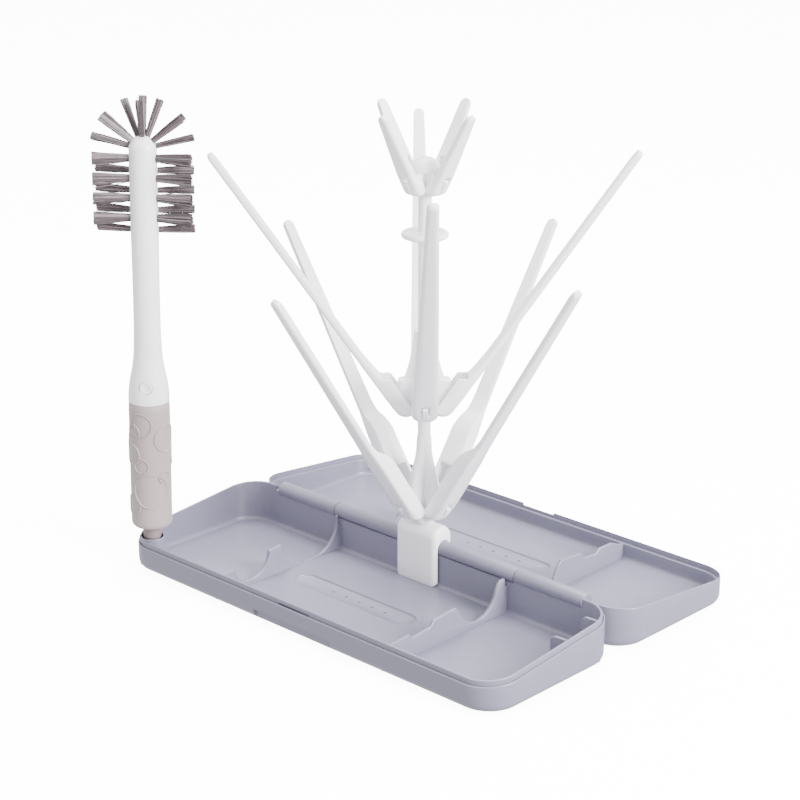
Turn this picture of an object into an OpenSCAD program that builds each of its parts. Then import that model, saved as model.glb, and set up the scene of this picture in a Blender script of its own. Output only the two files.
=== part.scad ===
// Travel bottle drying rack: a hinged case opened flat, a folding twelve-arm rack clipped
// over the case hinge, and a bottle brush standing in a socket in the case corner.
// +X runs along the case, +Y from the base tray towards the lid, +Z up.
// The origin is on the table under the middle of the base tray.

/* [Case] */
// Length of the case along the hinge
case_len = 250; // [230:1:280]
// Depth of each tray from the hinge gap to its far edge
tray_w = 89; // [84:1:105]
// Height of a tray's rim at its far edge
rim_far = 13; // [12:0.5:20]
// Height of a tray's rim beside the hinge, which is also the hinge axis height
rim_hinge = 21.5; // [20:0.5:26]
// Plan radius of the tray corners
corner_r = 17; // [12:0.5:24]
// Radius round the bottom edge of a tray
foot_r = 4.5; // [2:0.5:6]
// Thickness of a tray wall
wall = 2.3; // [2:0.1:3]
// Thickness of a tray floor
floor_t = 2; // [1.6:0.1:3]
// Height of the base tray's closing tongue above its rim
tongue_h = 2.6; // [2:0.1:3]
// Radius of the hinge barrel
barrel_r = 4; // [3.5:0.1:5]

/* [Rack] */
// Width of the saddle along the hinge
saddle_w = 27; // [22:1:36]
// Height of the top of the saddle above the table
saddle_top = 32.8; // [31:0.2:36]
// Radius of the mast rod
mast_r = 3.2; // [2.8:0.1:3.5]
// Distance of every long arm's pivot from the mast axis
pivot_r = 9.2; // [9:0.1:10]
// Distance of every crown arm's pivot from the mast axis
crown_r = 7.4; // [7.2:0.1:8.5]
// Height of the lower arm pivots
lower_z = 42; // [41:0.5:50]
// Height of the middle arm pivots
middle_z = 94; // [90:0.5:100]
// Height of the crown arm pivots
crown_z = 203.5; // [198:0.5:206]
// Length of a long arm from pivot to tip
arm_len = 155.5; // [140:0.5:160]
// Length of a crown arm from pivot to tip
crown_len = 43; // [36:0.5:46]
// Lean of an open lower arm from upright
lower_lean = 33; // [25:1:40]
// Lean of an open middle arm from upright
middle_lean = 35; // [25:1:40]
// Lean of an open crown arm from upright
crown_lean = 29; // [20:1:35]
// Radius of the collar disc under the crown
collar_r = 11.4; // [9:0.2:13]
// Height of the middle of the collar disc
collar_z = 179.5; // [170:0.5:185]

/* [Brush] */
// Height of the underside of the handle when the brush stands in its socket
handle_z = 22; // [20:0.5:24]
// Length of the silicone grip
grip_len = 67; // [60:1:72]
// Radius of the grip
grip_r = 10.3; // [9:0.1:10.4]
// Radius of the brush shaft in the bristles
shaft_r = 6.8; // [6:0.1:7.5]
// Height of the round end of the brush shaft
shaft_top = 223; // [215:1:224]
// Distance from the brush axis to the bristle tips
bristle_r = 24.6; // [20:0.2:26]

/* [Hidden] */
gap = 1;                       // half the gap between the two trays
lip = 1.1;                     // ledge outside the tongue
slack = 0.5;                   // clearance between the tongue and the lid's rebate
rebate_h = tongue_h + 0.4;     // depth of the lid's rebate
pin_r = 1;                     // radius of the arm pins and of the hinge pin
pin_fit = 0.06;                // running clearance round a pin
knuckle = [-102, -60, 62, 104.5]; // hinge barrel: outer ends and the two seams
cradle_x = 57;                 // the cross ribs stand at + and - this x
rib_t = 1.8;                   // thickness of a cross rib
socket_at = [10.7 - case_len / 2, 9.5 - gap - tray_w]; // brush axis in plan
socket_r = 5.6;                // bore of the brush socket
socket_floor = floor_t + 1.5;
recess_d = 1.3;                // depth of the thumb recess
leg_t = 2.2;                   // thickness of a saddle leg
slot_r = barrel_r + 0.3;       // half width of the saddle's slot
mast_foot = saddle_top - 5;    // underside of the mast rod
lug_half = 3.9;                // half width of a hub lug, inside its arm
arm_out = 5.7;                 // from a long arm's pivot to its outer face
arm_half = 6.5;                // half width of a long arm at its pivot
crown_out = 3.9;               // the same two for a crown arm
crown_half = 5.3;
tip_half = 2.7;                // half width of an arm at its tip
tip_out = 5.6;                 // from the pivot line to the outer face at a long arm's tip
crown_tip_out = 2.9;
lower_short = 1.5;             // the lower arms are this much shorter
lean_play = [-0.8, 0, 0, 1];   // each lower arm's own lean past the nominal one
skin = 1.5;                    // wall thickness of the arm channels
mitre = 0.25;                  // from an arm's cheek edge to the plane between two arms
lug_gap = 0.35;                // clearance between a lug's round end and its channel
dome_r = 6.9;                  // plan radius of the crown's dome
dome_h = 6;
dome_up = 7.5;                 // from the crown pivots up to the dome's base
brush_lean = 0.85;
button_turn = 41;              // the button faces between -Y and +X
button_r = 3.2;
button_up = 9;                 // height of the button above the grip
brush_turn = 41;               // the bristles lie in the plane square to the button
tuft_rows = 7;
tuft_pitch = 6.2;
tuft_low = 177.5;
tuft_root = 2.2;               // width of a tuft at the shaft and at its tip
tuft_tip = 3.6;
neck_z = handle_z + grip_len;  // where the grip ends and the white shaft begins
plug_len = 20;                 // length of shaft plugged into the handle core
plug_r = 5;
core_r = grip_r - 2.3;
peg_r = 3;                     // peg of the socket stub in the handle core
stub_r = 4.5;                  // upper part of the socket stub
white = [0.93, 0.93, 0.94];
case_grey = [0.68, 0.67, 0.74];
grip_pink = [0.76, 0.71, 0.72];
hair_grey = [0.45, 0.41, 0.43];
stub_brown = [0.5, 0.44, 0.45];
steel = [0.75, 0.75, 0.77];

ARM_SETS = ["lower_arm_", "middle_arm_", "crown_arm_"];

$fn = 48;

// ---- helpers -------------------------------------------------------------------------

// Everything is drawn about the middle of the hinge line and moved here
module at_hinge() {
    translate([0, gap + tray_w / 2, 0]) children();
}

// Height of the sloping rim plane at a distance d from the hinge axis
function rim(d) = rim_hinge - (rim_hinge - rim_far) * d / (gap + tray_w);

// Points of an arc about c from angle a0 to a1
function arc(c, r, a0, a1, n = 10) =
    [for (i = [0:n]) let (a = a0 + (a1 - a0) * i / n) c + r * [cos(a), sin(a)]];

// One rounded corner post of a tray, with its bottom edge rounded by b
module post(r, b, z0, h) {
    translate([0, 0, z0]) rotate_extrude($fn = 32)
        polygon(concat([[0, 0]], arc([r - b, b], b, -90, 0, 5), [[r, h], [0, h]]));
}

// A rounded box that fills a tray's plan, inset from the outside by g
module tray_block(g, z0, b) {
    r = corner_r - g;
    hull() for (x = [-1, 1], y = [gap + corner_r, gap + tray_w - corner_r])
        translate([x * (case_len / 2 - corner_r), y, 0]) post(r, b, z0, 40 - z0);
}

// Everything below the sloping rim plane raised by up
module under_rim(up) {
    far = gap + tray_w + 1;
    rotate([90, 0, 90]) translate([0, 0, -case_len]) linear_extrude(2 * case_len)
        polygon([[0, -1], [far, -1], [far, rim(far) + up], [0, rim(0) + up]]);
}

module cavity() {
    tray_block(wall, floor_t, 2);
}

// A tray without its hinge, drawn on the lid's side (+Y)
module tray_shell() {
    difference() {
        intersection() {
            tray_block(0, 0, foot_r);
            under_rim(0);
        }
        cavity();
    }
}

// Part of the hinge barrel from x0 to x1
module barrel(x0, x1, r) {
    translate([x0, 0, rim_hinge]) rotate([0, 90, 0]) cylinder(r = r, h = x1 - x0);
}

// Shallow stadium recess in a tray floor, with a row of five dimples centred on x0
module floor_marks(x0, y0) {
    straight = 66;
    translate([x0 - 3, y0, floor_t - 0.4]) stadium(straight, 6.5, 1);
    for (i = [-2:2]) translate([x0 + i * 8.8, y0, floor_t - 0.9]) cylinder(r = 0.7, h = 1.2);
}

module stadium(straight, r, h) {
    translate([-straight / 2, -r, 0]) cube([straight, 2 * r, h]);
    for (e = [-1, 1]) translate([e * straight / 2, 0, 0]) cylinder(r = r, h = h);
}

// A cross rib at x, cut from its side profile in y and z
module rib(x, pts) {
    translate([x - rib_t / 2, 0, 0]) rotate([90, 0, 90]) linear_extrude(rib_t) polygon(pts);
}

// ---- case ----------------------------------------------------------------------------

module base_tray() {
    color(case_grey) at_hinge() difference() {
        union() {
            mirror([0, 1, 0]) tray_shell();
            mirror([0, 1, 0]) difference() {
                intersection() {
                    tray_block(lip, 0, foot_r);
                    under_rim(tongue_h);
                }
                cavity();
                translate([-knuckle[3], 0, 0]) cube([2 * knuckle[3], wall + 2, 40]);
                translate([-case_len / 2, 0, -1]) cube([case_len, 2 * tray_w, rim_far - 3]);
            }
            barrel(knuckle[0], knuckle[1] - 0.25, barrel_r);
            barrel(knuckle[2] + 0.25, knuckle[3], barrel_r);
        }
        barrel(knuckle[0] - 1, knuckle[3] + 1, pin_r);
        barrel(knuckle[1] - 0.25, knuckle[2] + 0.25, barrel_r + 0.3);
        // thumb recess along the foot of the front wall, and the latch slot under the tongue
        translate([-28.6, -gap - tray_w - 1, -1]) cube([53, 1 + recess_d, 6]);
        translate([-11, 0.5 - gap - tray_w, rim_far - 1]) cube([20.5, 1.2, 1.9]);
        translate([socket_at[0], socket_at[1], socket_floor]) cylinder(r = socket_r, h = 30);
        mirror([0, 1, 0]) floor_marks(-3.4, 43);
    }
}

module base_cradle_left() {
    color(case_grey) at_hinge() mirror([0, 1, 0]) intersection() {
        cavity();
        rib(-cradle_x, concat(
            [[0, 0], [0, 16], [4.5, 16], [4.5, 20.6]], arc([21, 18.5], 15.8, 172, 262, 9),
            [[31, 2.6], [32, 3]], arc([32, 14.5], 11.5, 275, 345, 7),
            [[44.6, 16.7], [51.4, 16.2]], arc([65.5, 17], 12.6, 185, 268, 8),
            arc([67.5, 12], 7.6, 275, 340, 5), [[76, 13], [90, 12.6], [90, 0]]));
    }
}

module base_cradle_right() {
    color(case_grey) at_hinge() mirror([0, 1, 0]) intersection() {
        cavity();
        rib(cradle_x, concat(
            [[0, 0], [0, 16], [4.5, 16], [4.5, 20.3], [7.2, 20], [9, 18.6]],
            arc([24, 18], 13.4, 190, 335, 14),
            [[39, 16.2], [54.6, 15.4], [57, 12.4], [68.6, 11], [71, 13.4], [90, 12.2], [90, 0]]));
    }
}

// Two upright ribs that hold the brush handle's end
module handle_clips() {
    color(case_grey) at_hinge() intersection() {
        mirror([0, 1, 0]) cavity();
        for (y = [-13, -35]) translate([0, y + 0.8, 0]) rotate([90, 0, 0]) linear_extrude(1.6)
            polygon(concat([[case_len / 2, 0], [112, 0]],
                           arc([115.6, rim(-y) - 2.4], 3.6, 180, 90, 8), [[case_len / 2, rim(-y) + 1.4]]));
    }
}

module brush_socket() {
    color(case_grey) at_hinge() intersection() {
        mirror([0, 1, 0]) cavity();
        translate(socket_at) difference() {
            cylinder(r = socket_r + 1.3, h = 15.8);
            translate([0, 0, socket_floor]) cylinder(r = socket_r, h = 20);
        }
    }
}

module lid_tray() {
    color(case_grey) at_hinge() difference() {
        union() {
            tray_shell();
            barrel(knuckle[1], knuckle[2], barrel_r);
        }
        difference() {
            tray_block(lip - slack, 0, foot_r);
            under_rim(-rebate_h);
            translate([-knuckle[3], 0, 0]) cube([2 * knuckle[3], wall + 3, 40]);
        }
        for (e = [[knuckle[0] - 0.3, knuckle[1]], [knuckle[2], knuckle[3] + 0.3]])
            barrel(e[0], e[1], barrel_r + 0.3);
        barrel(knuckle[0] - 1, knuckle[3] + 1, pin_r + pin_fit);
        // latch notch in the far lip
        translate([-11, gap + tray_w - lip, rim_far - 1.4]) cube([21, 3, 5]);
        floor_marks(2.8, 49.5);
    }
}

module lid_cradle_left() {
    color(case_grey) at_hinge() intersection() {
        cavity();
        rib(-cradle_x, concat([[30, 0]], arc([31, 14], 12, 270, 340, 7),
                              [[43, 15.6], [50, 15]], arc([63, 15], 12, 180, 262, 8), [[63, 0]]));
    }
}

module lid_cradle_right() {
    color(case_grey) at_hinge() intersection() {
        cavity();
        rib(cradle_x, [[29, 0], [32, 7], [35.5, 13.5], [38, 16.4], [53.6, 15.2], [56.6, 11.8],
                       [66, 11], [69.6, 13.2], [79, 13], [85, 10.4], [90, 10], [90, 0]]);
    }
}

module hinge_pin() {
    color(steel) at_hinge() barrel(knuckle[0] + 1, knuckle[3] - 1, pin_r);
}

// ---- rack ----------------------------------------------------------------------------

// Inverted U that straddles the hinge barrel; its back leg is short so the lid can follow
module saddle_clip() {
    out = slot_r + leg_t;
    side = saddle_w / 2;
    round_y = 6;
    round_x = 5;
    color(white) at_hinge() difference() {
        intersection() {
            translate([-side, 0, 0]) rotate([90, 0, 90]) linear_extrude(saddle_w)
                polygon(concat([[-out, floor_t + 0.1], [out, 12]],
                               arc([out - round_y, saddle_top - round_y], round_y, 0, 90, 8),
                               arc([round_y - out, saddle_top - round_y], round_y, 90, 180, 8)));
            rotate([90, 0, 0]) linear_extrude(4 * out, center = true)
                polygon(concat(arc([side - 2, 2], 2, -90, 0, 4),
                               arc([side - round_x, saddle_top - round_x], round_x, 0, 90, 8),
                               arc([round_x - side, saddle_top - round_x], round_x, 90, 180, 8),
                               arc([2 - side, 2], 2, 180, 270, 4)));
        }
        barrel(-saddle_w, saddle_w, slot_r);
        translate([-saddle_w, -slot_r, -1]) cube([2 * saddle_w, 2 * slot_r, rim_hinge + 1]);
        translate([0, 0, mast_foot]) cylinder(r = mast_r, h = 10);
    }
}

// One hub lug along +X: a round end on the pivot, then the sweep up to the mast as points
// in radius and height above the pivot; widths are its half widths against that height
module lug(pr, z, lug_r, sweep, widths, foot) {
    up = sweep[len(sweep) - 1][1];
    n = len(widths) - 1;
    intersection() {
        rotate([90, 0, 0]) linear_extrude(20, center = true) polygon(concat(
            [[0, z - foot]], arc([pr, z], lug_r, -90, 20, 10),
            [for (p = sweep) [p[0], z + p[1]]], [[0, z + up]]));
        rotate([90, 0, 90]) linear_extrude(40, center = true) polygon(concat(
            [for (p = widths) [p[1], z + p[0]]], [for (i = [n:-1:0]) [-widths[i][1], z + widths[i][0]]]));
    }
}

// Room below a pivot for an arm's foot to swing through
module foot_sweep(out) {
    difference() {
        intersection() {
            cylinder(r = out + lug_gap, h = 2 * arm_half + 1, center = true);
            translate([-0.62 * out, -2 * out, -arm_half - 1]) cube([3 * out, 2 * out, 2 * arm_half + 2]);
        }
        cylinder(r = out - skin - lug_gap, h = 20, center = true);
    }
}

// Four lugs round the mast, turned by a, on a core of radius mid, with the pin bores
module hub(pr, z, out, sweep, widths, mid, foot, a) {
    up = sweep[len(sweep) - 1][1];
    difference() {
        union() {
            for (i = [0:3]) rotate([0, 0, a + 90 * i])
                lug(pr, z, out - skin - lug_gap, sweep, widths, foot);
            translate([0, 0, z - foot]) cylinder(r = mid, h = foot + 8);
            translate([0, 0, z]) cylinder(r = mast_r + 0.4, h = up);
        }
        translate([0, 0, z - foot - 1]) cylinder(r = mast_r, h = up + foot + 2);
        for (i = [0:3]) rotate([0, 0, a + 90 * i]) translate([pr, 0, z]) rotate([90, 0, 0]) {
            cylinder(r = pin_r, h = 20, center = true);
            foot_sweep(out);
        }
    }
}

module lower_hub() {
    color(white) at_hinge() hub(pivot_r, lower_z, arm_out,
        [[12.2, 2], [9.8, 6], [8, 9], [6.4, 13.5], [5.2, 18.5], [4.4, 23], [3.9, 28], [3.7, 33]],
        [[-10, lug_half], [8, lug_half], [18, 3.2], [28, 2], [34, 1.6]],
        4.8, lower_z - saddle_top, 0);
}

module middle_hub() {
    color(white) at_hinge() hub(pivot_r, middle_z, arm_out,
        [[13, 1.4], [13, 13.5], [9.6, 14], [7.8, 20], [6.5, 26], [5.6, 31], [4.8, 38]],
        [[-10, lug_half], [12, lug_half], [30, 3.4], [39, 3.2]],
        5.6, 4, 45);
}

module crown_hub() {
    color(white) at_hinge() {
        hub(crown_r, crown_z, crown_out, [[9.3, 1], [9.3, 4.5], [7, dome_up]],
            [[-6, lug_half - 0.8], [9, lug_half - 0.8]], 5.6, 2.8, 0);
        translate([0, 0, crown_z + dome_up]) rotate_extrude()
            polygon(concat([[0, 0]], [for (p = arc([0, 0], 1, 0, 90, 10)) [dome_r * p[0], dome_h * p[1]]]));
    }
}

module mast_rod() {
    color(white) at_hinge() translate([0, 0, mast_foot])
        cylinder(r = mast_r, h = crown_z + dome_up - mast_foot);
}

module collar_disc() {
    edge = 1.5;
    color(white) at_hinge() translate([0, 0, collar_z]) rotate_extrude($fn = 64)
        polygon(concat([[mast_r, -1.7]], arc([collar_r - edge, 0], edge, -80, 80, 8), [[mast_r, 1.7]]));
}

module arm_pins(pr, z, half, a) {
    color(steel) at_hinge() for (i = [0:3]) rotate([0, 0, a + 90 * i]) translate([pr, 0, z])
        rotate([90, 0, 0]) cylinder(r = pin_r, h = 2 * half, center = true);
}

module lower_pins() {
    arm_pins(pivot_r, lower_z, arm_half - 0.4, 0);
}

module middle_pins() {
    arm_pins(pivot_r, middle_z, arm_half - 0.4, 45);
}

module crown_pins() {
    arm_pins(crown_r, crown_z, crown_half - 0.4, 0);
}

// An arm lies upright along +Z with its pivot at the origin and its outer face at +X.
// Solid seen from the side: foot round the pivot, outer face up to the tip, then the
// inner edge of the cheeks, given from tip to foot.
module side_solid(len, out, top, cheek, w) {
    rotate([90, 0, 0]) linear_extrude(w, center = true) polygon(concat(
        [[-out, -out]], arc([0, 0], out, -90, 0, 12),
        [[top, len - 2], [top - 0.5, len - 0.7], [top - 1.4, len]], cheek));
}

// Solid seen from the front: half widths up the arm as points in z and half width
module front_solid(rows, end_r, d) {
    n = len(rows) - 1;
    rotate([90, 0, 90]) linear_extrude(d, center = true) polygon(concat(
        [for (p = rows) [p[1], p[0]]], arc([0, rows[n][0]], end_r, 0, 180, 12),
        [for (i = [n:-1:0]) [-rows[i][1], rows[i][0]]]));
}

// Room between the two planes that part an arm from its neighbours
module quadrant(pr) {
    reach = 200;
    translate([mitre - pr, 0, 0]) linear_extrude(2 * reach, center = true)
        polygon([[0, 0], [reach, reach], [reach, -reach]]);
}

// One arm: rows are its half widths, cheek the inner edge of its cheeks; it is a channel
// up to the height hollow and solid beyond
module arm(len, out, top, pr, lean, rows, cheek, tongue_z, hollow) {
    half = rows[1][1];
    n = len(rows) - 1;
    tongue_w = 4.2;
    tongue_l = 7;
    slit = 0.6;
    difference() {
        intersection() {
            side_solid(len, out, top, cheek, 4 * half);
            front_solid(concat([[-out, half - 1.4], [1.6 - out, half]],
                               [for (i = [1:n]) rows[i]]), rows[n][1], 4 * out + 20);
            quadrant(pr);
            rotate([0, -lean, 0]) quadrant(pr);
        }
        // the channel, closed at the foot round the outside of the lug
        intersection() {
            union() {
                side_solid(hollow, out - skin, top - skin, [[-9, hollow], [-9, 0], [0, 0]], 4 * half);
                translate([-30, -half, -3 * out]) cube([30, 2 * half, hollow + 3 * out]);
            }
            front_solid([for (p = rows) [p[0], p[1] - skin]], rows[n][1] - skin, 80);
        }
        rotate([90, 0, 0]) cylinder(r = pin_r + pin_fit, h = 3 * half, center = true);
        // snap tongue: a window with slits down its sides
        translate([0, 0, tongue_z]) difference() {
            translate([0, -tongue_w / 2, 0]) cube([out + 1, tongue_w, tongue_l]);
            translate([-1, slit - tongue_w / 2, -1]) cube([out + 3, tongue_w - 2 * slit, tongue_l - 2]);
        }
    }
}

module placed(i, a, pr, z, lean) {
    color(white) at_hinge() rotate([0, 0, a + 90 * i]) translate([pr, 0, z]) rotate([0, lean, 0])
        children();
}

module lower_arm(i) {
    len = arm_len - lower_short;
    placed(i, 0, pivot_r, lower_z, lower_lean + lean_play[i])
        arm(len, arm_out, tip_out, pivot_r, lower_lean,
            [[-20, arm_half], [0, arm_half], [37, arm_half - 0.6], [50, 4.6], [len - tip_half, tip_half]],
            [[2.4, len - 1.5], [2.2, len - 5], [2.8, 54], [2, 48], [-0.6, 43.5], [-3.6, 39.5],
             [-4, 36], [-4, -2]], 0.5, 50);
}

module middle_arm(i) {
    len = arm_len;
    placed(i, 45, pivot_r, middle_z, middle_lean)
        arm(len, arm_out, tip_out, pivot_r, middle_lean,
            [[-20, arm_half], [0, arm_half], [54, arm_half - 1.3], [len - tip_half, tip_half]],
            [[2.4, len - 1.5], [2.2, len - 5], [3, 34], [2.4, 24], [1.5, 18.6], [-3, 15.8],
             [-5, 13], [-5, -2]], 2.8, 32);
}

module crown_arm(i) {
    placed(i, 0, crown_r, crown_z, crown_lean)
        arm(crown_len, crown_out, crown_tip_out, crown_r, crown_lean,
            [[-20, crown_half], [0, crown_half], [12, crown_half - 0.5], [crown_len - tip_half, tip_half]],
            [[0.2, crown_len - 1], [0, crown_len - 4], [0, 13], [-0.2, 8.8], [-2.4, 5.6], [-2.4, -2]],
            1.6, 13);
}

// ---- brush ---------------------------------------------------------------------------

// The brush stands a little loose in its socket, so it leans towards the hinge
module at_brush() {
    at_hinge() translate([socket_at[0], socket_at[1], socket_floor])
        rotate(a = brush_lean, v = [-sin(button_turn), cos(button_turn), 0])
            translate([0, 0, -socket_floor]) children();
}

// White shaft: its foot is plugged into the handle core
module brush_shaft() {
    color(white) at_brush() difference() {
        translate([0, 0, neck_z]) rotate_extrude() polygon(concat(
            [[0, -plug_len], [plug_r, -plug_len], [plug_r, 0], [10.2, 0], [10.1, 4], [9.4, 10],
             [7.6, 20], [6.9, 28], [6.6, 40]],
            arc([0, shaft_top - shaft_r - neck_z], shaft_r, 0, 90, 10)));
        at_button(button_r + 0.2, 0, 14);
    }
}

// Cylinder on the button's axis, from a distance d to a distance e out from the shaft axis
module at_button(r, d, e) {
    translate([0, 0, neck_z + button_up]) rotate([0, 0, button_turn]) rotate([90, 0, 0])
        translate([0, 0, d]) cylinder(r = r, h = e - d);
}

module release_button() {
    color(white) at_brush() at_button(button_r, 2, 9.4);
}

module handle_core() {
    color(white) at_brush() difference() {
        translate([0, 0, handle_z + 3]) cylinder(r = core_r, h = grip_len - 3);
        translate([0, 0, neck_z - plug_len]) cylinder(r = plug_r, h = 30);
        translate([0, 0, handle_z]) cylinder(r = peg_r, h = 10);
    }
}

module silicone_grip() {
    edge = 3;
    color(grip_pink) at_brush() difference() {
        translate([0, 0, handle_z]) rotate_extrude() polygon(concat(
            [[0, 0]], arc([grip_r - edge, edge], edge, -90, 0, 6),
            [[grip_r - 0.3, grip_len], [0, grip_len]]));
        translate([0, 0, handle_z + 3]) cylinder(r = core_r, h = grip_len);
        translate([0, 0, handle_z - 1]) cylinder(r = peg_r, h = 10);
    }
}

// Stub under the handle that stands in the socket, with a peg up into the core
module socket_stub() {
    foot_z = socket_floor + 0.2;
    color(stub_brown) at_brush() {
        translate([0, 0, foot_z]) cylinder(r = socket_r - 0.35, h = 9);
        translate([0, 0, foot_z]) cylinder(r = stub_r, h = handle_z - foot_z);
        translate([0, 0, handle_z - 1]) cylinder(r = peg_r, h = 10);
    }
}

// One tuft from the shaft to its splayed tip, pointing along +X
module tuft(reach) {
    rotate([0, 90, 0]) linear_extrude(height = reach, scale = tuft_tip / tuft_root)
        square([tuft_root, tuft_root * 0.8], center = true);
}

// One side's tufts in two staggered ranks
module side_tufts(turn) {
    root = shaft_r - 0.8;
    for (i = [0:tuft_rows - 1], k = [-1, 1])
        at_brush() translate([0, 0, tuft_low + (i + (k > 0 ? 0.5 : 0)) * tuft_pitch])
            rotate([0, 0, turn + 17 * k]) translate([root, 0, 0]) tuft(bristle_r - root);
}

module bristles_left() {
    color(hair_grey) side_tufts(brush_turn + 180);
}

module bristles_right() {
    color(hair_grey) side_tufts(brush_turn);
}

// The fan of tufts over the round end
module bristles_tip() {
    root = shaft_r - 0.8;
    color(hair_grey) for (e = [-76, -51, -20, 0, 20, 51, 76])
        at_brush() translate([0, 0, shaft_top - shaft_r]) rotate([0, 0, brush_turn])
            rotate([0, -e - 90, 0]) translate([root, 0, 0]) tuft(25.2 - root);
}

// ---- nodes ---------------------------------------------------------------------------

base_tray();
base_cradle_left();
base_cradle_right();
handle_clips();
brush_socket();
lid_tray();
lid_cradle_left();
lid_cradle_right();
hinge_pin();
saddle_clip();
lower_hub();
middle_hub();
crown_hub();
mast_rod();
collar_disc();
lower_pins();
middle_pins();
crown_pins();
brush_shaft();
bristles_left();
bristles_right();
bristles_tip();
release_button();
handle_core();
silicone_grip();
socket_stub();
for (i = [1:4]) {
    lower_arm(i - 1);
    middle_arm(i - 1);
    crown_arm(i - 1);
}
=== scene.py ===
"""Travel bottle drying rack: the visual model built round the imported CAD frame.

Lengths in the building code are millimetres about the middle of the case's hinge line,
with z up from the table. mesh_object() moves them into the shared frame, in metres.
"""
import math
import random

import bmesh
import bpy
from mathutils import Matrix, Vector


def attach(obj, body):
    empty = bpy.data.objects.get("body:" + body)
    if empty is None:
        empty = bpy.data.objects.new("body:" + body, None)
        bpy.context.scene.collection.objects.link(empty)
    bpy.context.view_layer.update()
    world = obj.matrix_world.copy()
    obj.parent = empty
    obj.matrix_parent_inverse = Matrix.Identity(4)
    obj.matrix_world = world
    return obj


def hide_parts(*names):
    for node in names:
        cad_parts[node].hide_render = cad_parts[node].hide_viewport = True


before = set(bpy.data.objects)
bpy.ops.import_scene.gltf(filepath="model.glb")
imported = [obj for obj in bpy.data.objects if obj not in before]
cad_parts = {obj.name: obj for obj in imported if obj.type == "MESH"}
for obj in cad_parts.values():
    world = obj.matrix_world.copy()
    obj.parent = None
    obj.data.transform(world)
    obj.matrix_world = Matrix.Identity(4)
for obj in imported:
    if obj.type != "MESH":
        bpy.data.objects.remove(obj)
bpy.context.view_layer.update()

MM = 0.001
HINGE_Y = 45.5                      # the hinge line's y in the shared frame

CASE_LEN = 250
TRAY_W = 89
GAP = 1
CORNER_R = 17
FOOT_R = 4.5
WALL = 2.3
FLOOR_T = 2
RIM_FAR = 13
RIM_HINGE = 21.5
TONGUE_H = 2.6
LIP = 1.1
BARREL_R = 4
BARREL_GAP = 0.3                    # round the barrel, in the tray cut-outs and the saddle
KNUCKLE = (-102, -60, 62, 104.5)
KNUCKLE_GAP = 0.25                  # between one knuckle's end and the next
CRADLE_X = 57
RIB_T = 1.8

SADDLE_W = 27
SADDLE_TOP = 32.8
MAST_R = 3.2
PIVOT_R = 9.2
CROWN_R = 7.4
LOWER_Z = 42
MIDDLE_Z = 94
CROWN_Z = 203.5
ARM_LEN = 155.5
CROWN_LEN = 43
LOWER_LEAN = (32.2, 33, 33, 34)
MIDDLE_LEAN = 35
CROWN_LEAN = 29
COLLAR_R = 11.4
COLLAR_Z = 179.5
COLLAR_HALF = 1.7                   # half thickness of its boss
COLLAR_EDGE = 1.5                   # edge radius of the disc
ARM_OUT = 5.7                       # foot radius of the long arms, about their pivots
ARM_TOP = 5.6                       # outer face of their tips
CROWN_OUT = 3.9
CROWN_TOP = 2.9
ARM_HALF = 6.5                      # half width of a long arm's foot
TIP_R = 2.7
SKIN = 1.5                          # wall of the arms' channels
WINDOW_H = 7                        # height of the window round a snap tongue

SOCKET = (10.7 - CASE_LEN / 2, 9.5 - GAP - TRAY_W)
SOCKET_R = 5.6
HANDLE_Z = 22
GRIP_LEN = 67
GRIP_R = 10.3
SHAFT_R = 6.8
SHAFT_TOP = 223
BRISTLE_R = 24.6
FAN_R = 25.7                        # reach of the end tufts from the dome's centre
TUFT_PITCH = 9.75
TUFT_Z = (182.7, 176.4)             # lowest tuft of the full rank and of the slim one
TUFT_ANGLE = 11                     # degrees between each rank and the middle of its side
NECK_Z = HANDLE_Z + GRIP_LEN
BUTTON_TURN = math.radians(41 - 90)  # plan direction that the button faces
BRISTLE_TURN = math.radians(41)      # plan direction of the bristle rows


# ---- mesh helpers --------------------------------------------------------------------

def arc(cx, cy, r, a0, a1, n=10):
    """Points of an arc, with its angles in degrees."""
    angles = [math.radians(a0 + (a1 - a0) * i / n) for i in range(n + 1)]
    return [(cx + r * math.cos(a), cy + r * math.sin(a)) for a in angles]


def lerp_rows(rows, s):
    """Value at s of a list of (s, value) rows."""
    if s <= rows[0][0]:
        return rows[0][1]
    for (a, u), (b, v) in zip(rows, rows[1:]):
        if s <= b:
            return u + (v - u) * (s - a) / (b - a)
    return rows[-1][1]


def flowing(rows, steps=5):
    """Rows of numbers made denser along a smooth curve through them."""
    dense = []
    for i in range(len(rows) - 1):
        p0, p1 = rows[max(i - 1, 0)], rows[i]
        p2, p3 = rows[i + 1], rows[min(i + 2, len(rows) - 1)]
        for k in range(steps):
            t = k / steps
            dense.append(tuple(
                0.5 * (2 * b + (c - a) * t + (2 * a - 5 * b + 4 * c - d) * t * t
                       + (3 * b - a - 3 * c + d) * t ** 3)
                for a, b, c, d in zip(p0, p1, p2, p3)))
    dense.append(tuple(rows[-1]))
    return dense


def loft(rings, cap_start=True, cap_end=True):
    """Closed rings with the same number of points, joined into one skin."""
    n = len(rings[0])
    verts = [p for ring in rings for p in ring]
    faces = [(i * n + j, i * n + (j + 1) % n, (i + 1) * n + (j + 1) % n, (i + 1) * n + j)
             for i in range(len(rings) - 1) for j in range(n)]
    if cap_start:
        faces.append(tuple(range(n))[::-1])
    if cap_end:
        faces.append(tuple((len(rings) - 1) * n + j for j in range(n)))
    return verts, faces


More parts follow.
